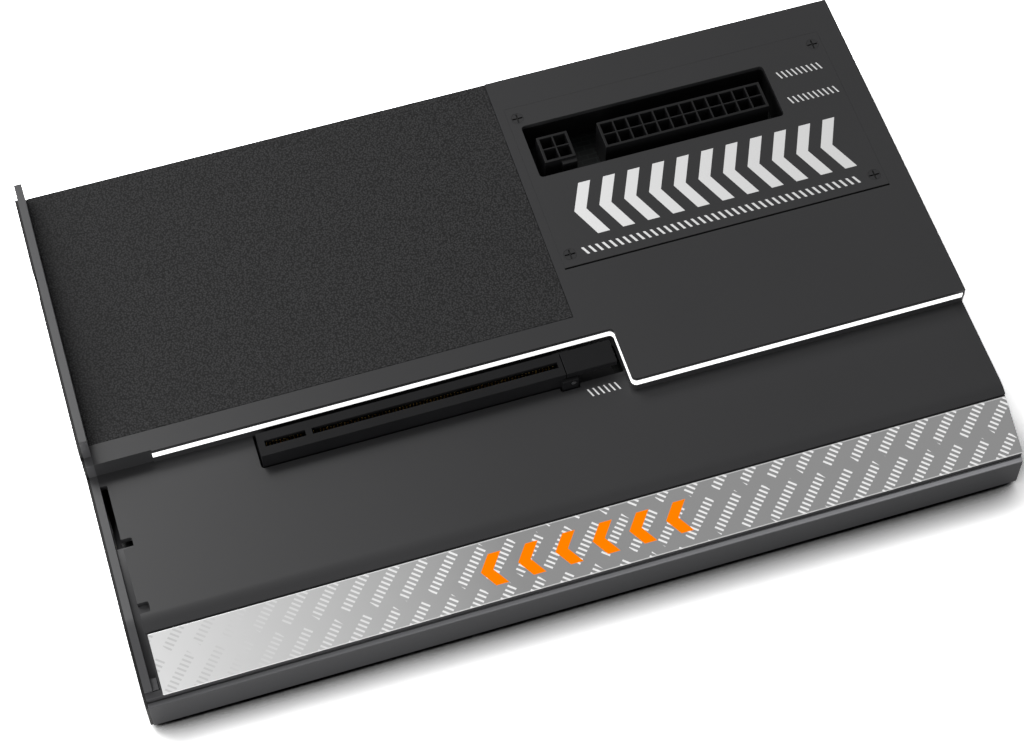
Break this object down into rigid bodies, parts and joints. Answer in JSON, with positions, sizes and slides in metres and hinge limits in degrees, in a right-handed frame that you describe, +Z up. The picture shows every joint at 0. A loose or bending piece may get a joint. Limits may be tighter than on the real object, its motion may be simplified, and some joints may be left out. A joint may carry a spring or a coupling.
{
  "type": "expansion card dock",
  "caption": "Flat open dock for an external graphics card: two-level metal shell, card slot with latch, lit step, power headers in a well, storage bay cover, end plates and feet.",
  "frame": {"origin": "middle of the footprint's bounding box, on the table", "axes": "+X along the case to its right end, +Y to the back, +Z up"},
  "size_m": [0.2546, 0.1612, 0.039],
  "materials": {
    "shell_metal": "dark grey, satin",
    "plate_metal": "dark grey, satin",
    "sheet_film": "black",
    "base_metal": "near black, satin",
    "strip_metal": "bright, with a fine printed pattern",
    "pad": "dark, fine grain",
    "light": "white, lit from behind",
    "light_chip": "glossy",
    "flex": "amber film",
    "pale_plastic": "off-white",
    "slot_plastic": "black, slightly rough",
    "header_plastic": "black",
    "contact": "gold plated",
    "tin": "tin plated",
    "steel": "bright",
    "dark_steel": "blackened",
    "thermal": "soft, grey-blue",
    "board": "black circuit board",
    "foot_rubber": "black",
    "standoff_brass": "bare",
    "chip": "black",
    "sink": "bare",
    "ferrite": "grey",
    "can": "bare",
    "blue_plastic": "blue",
    "button_metal": "satin"
  },
  "bodies": {
    "dock": {"top_shell": "shell_metal", "left_end_plate": "plate_metal", "side_sheet": "sheet_film", "right_end_cap": "shell_metal", "front_rail": "plate_metal", "front_strip": "strip_metal", "grip_pad": "pad", "light_bar": "light", "light_strip": "flex", "light_chips": "light_chip", "light_lead": "flex", "light_socket": "pale_plastic", "slot_housing": "slot_plastic", "slot_contacts": "contact", "latch_pin": "steel", "header_24_body": "header_plastic", "header_24_pins": "tin", "header_4_body": "header_plastic", "header_4_pins": "tin", "well_liner": "header_plastic", "cover_plate": "shell_metal", "cover_screws": "dark_steel", "thermal_pad": "thermal", "bracket_rail": "plate_metal", "main_board": "board", "base_plate": "base_metal", "feet": "foot_rubber", "standoffs": "standoff_brass", "board_screws": "steel", "base_screws": "dark_steel", "end_screws": "dark_steel", "cap_screws": "dark_steel", "controller_chip": "chip", "heat_sink": "sink", "heat_sink_pins": "pale_plastic", "small_chips": "chip", "inductors": "ferrite", "capacitors": "can", "storage_socket": "chip", "storage_contacts": "contact", "storage_post": "standoff_brass", "storage_screw": "steel", "small_port_shells": "tin", "small_port_tongues": "chip", "wide_port_shell": "tin", "wide_port_tongue": "blue_plastic", "button_switch": "chip"},
    "latch": {"slot_latch": "slot_plastic"},
    "button": {"power_button": "button_metal"}
  },
  "joints": [
    {"name": "latch_hinge", "type": "hinge", "parent": "dock", "child": "latch", "pos_m": [0.0111, -0.0205, 0.0269], "axis": [0, 1, 0], "range_deg": [0, 18], "stiffness_Nm_per_rad": 0.02, "springref_deg": -2.86},
    {"name": "button_press", "type": "slide", "parent": "dock", "child": "button", "axis": [1, 0, 0], "range_m": [0, 0.0006], "stiffness_N_per_m": 2000, "springref_m": -0.0002}
  ]
}
